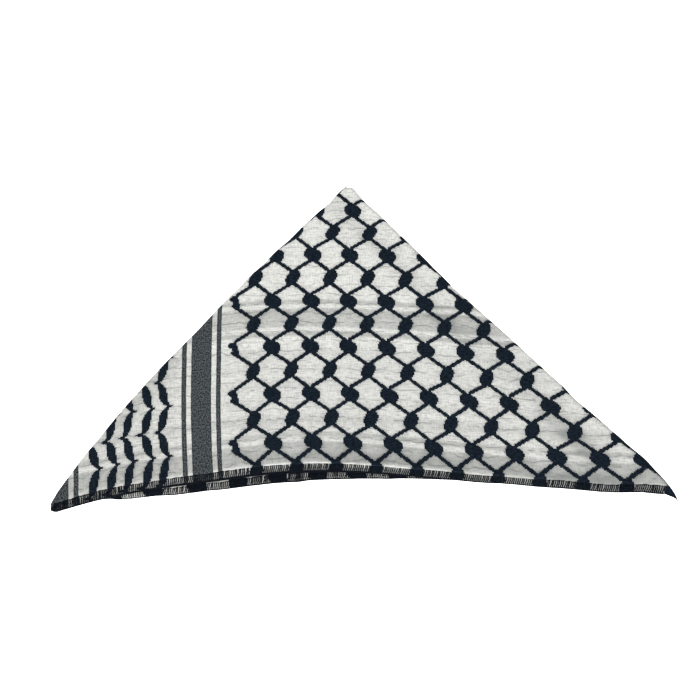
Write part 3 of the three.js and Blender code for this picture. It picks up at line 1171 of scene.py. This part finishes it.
def hem_path(name, quarter):
    h = np.linspace(float(left_fold(0.0)) + HEM_STARTS, HEM_ENDS, 300)
    x, y = lay_out(h, edge_at(h) - quarter["slip"] * slip_at(h, edge_at(h)))
    height = quarter["hem"] - quarter["up"] * THICKNESS / 2
    mesh = bpy.data.meshes.new(name)
    points = np.stack([x, y, np.full(len(h), height)], 1) * MM
    mesh.from_pydata(points.tolist(), [(i, i + 1) for i in range(len(h) - 1)], [])
    size = hem_size(h, pair_of(quarter)).astype(np.float32)
    mesh.attributes.new("size", "FLOAT", "POINT").data.foreach_set("value", size)
    made = bpy.data.objects.new(name, mesh)
    bpy.context.collection.objects.link(made)
    return made


def sew(name, quarter, seed):
    piece = hem_path(name, quarter)
    sewn = piece.modifiers.new("sewing", "NODES")
    sewn.node_group = sewing
    values = {"Stitch": one_stitch, "Pitch": PITCH[pair_of(quarter)] * MM,
              "Thread": STITCH["thread"] * MM, "Unevenness": UNEVENNESS, "Seed": seed,
              "Finish": thread}
    for item in sewing.interface.items_tree:
        if item.name in values and item.in_out == "INPUT":
            sewn[item.identifier] = values[item.name]
    return settled(piece)


hems = {}
for seed, (name, sheet) in enumerate(HEM_SHEETS.items()):
    hems[name] = sew(name, QUARTERS[sheet], seed)
    hems[name].data.calc_loop_triangles()
    print(name, len(hems[name].data.loop_triangles), "triangles")
bpy.data.objects.remove(one_stitch)

# %% [markdown]
# ## Putting the pieces in the frame
#
# Every piece rides on the model's one body and stands for the solid whose place it takes. A quarter
# of the square is a triangle, half of its bounding rectangle.

# %% Ride and replace
STANDS_FOR = {"front_cloth": ["front_quarter"], "second_cloth": ["inner_quarters"],
              "third_cloth": ["inner_quarters"], "back_cloth": ["back_quarter"],
              "front_hem_stitches": ["front_hem"], "second_hem_stitches": ["dark_hem"],
              "third_hem_stitches": ["peeking_hem"], "back_hem_stitches": ["back_hem"]}
for name, piece in {**sheets, **hems}.items():
    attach(piece, "root")
    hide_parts(*STANDS_FOR[name])
    "white_cloth" if name in sheets else "dark_thread"

# %% [markdown]
# ## Floor, light and camera
#
# The cloth lies on a plain light table, which keeps its own shadow off the white round it. Two
# soft lights keep it even, the stronger one from the hem's side, so that the low ridge above the
# stitches catches it. The camera looks straight down.

# %% Floor
FLOOR = dict(half=3, below=0.3)
corners = [(x * FLOOR["half"], y * FLOOR["half"], -FLOOR["below"] * MM)
           for x, y in ((-1, -1), (1, -1), (1, 1), (-1, 1))]
floor_mesh = bpy.data.meshes.new("floor")
floor_mesh.from_pydata(corners, [], [(0, 1, 2, 3)])
floor = bpy.data.objects.new("floor", floor_mesh)
bpy.context.collection.objects.link(floor)
paint = bpy.data.materials.new("light_table")
paint.use_nodes = True
glass = paint.node_tree.nodes["Principled BSDF"]
glass.inputs["Base Color"].default_value = (0.85, 0.85, 0.85, 1)
glass.inputs["Roughness"].default_value = 0.9
glass.inputs["Specular IOR Level"].default_value = 0
glass.inputs["Emission Color"].default_value = (1, 1, 1, 1)
glass.inputs["Emission Strength"].default_value = 1.6
floor_mesh.materials.append(paint)


# %% Lights
def far_light(name, strength, softness, place):
    """A lamp so far off that it lights the whole table evenly. Its place gives its direction."""
    lamp = bpy.data.lights.new(name, "SUN")
    lamp.energy, lamp.angle = strength, math.radians(softness)
    made = bpy.data.objects.new(name, lamp)
    made.location = place
    made.rotation_mode = "QUATERNION"
    made.rotation_quaternion = (made.location * -1).to_track_quat("-Z", "Y")
    bpy.context.collection.objects.link(made)


far_light("window", 2.7, 35, (-0.35, -1.0, 0.8))
far_light("overhead", 0.6, 90, (0.1, 0.2, 1.0))
world = bpy.data.worlds.new("room")
world.use_nodes = True
world.node_tree.nodes["Background"].inputs[0].default_value = (1, 1, 1, 1)
world.node_tree.nodes["Background"].inputs[1].default_value = 0.42
bpy.context.scene.world = world
bpy.context.scene.view_settings.view_transform = "Standard"

# %% Camera
VIEW = dict(centre=(-11.75, -0.46), width=614, lens=85, sensor=36)
lens = bpy.data.cameras.new("above")
lens.lens, lens.sensor_width = VIEW["lens"], VIEW["sensor"]
camera = bpy.data.objects.new("above", lens)
away = VIEW["width"] * VIEW["lens"] / VIEW["sensor"] + QUARTERS["front_cloth"]["face"]
camera.location = (VIEW["centre"][0] * MM, VIEW["centre"][1] * MM, away * MM)
bpy.context.collection.objects.link(camera)
bpy.context.scene.camera = camera
print("camera", round(away), "mm above the table")
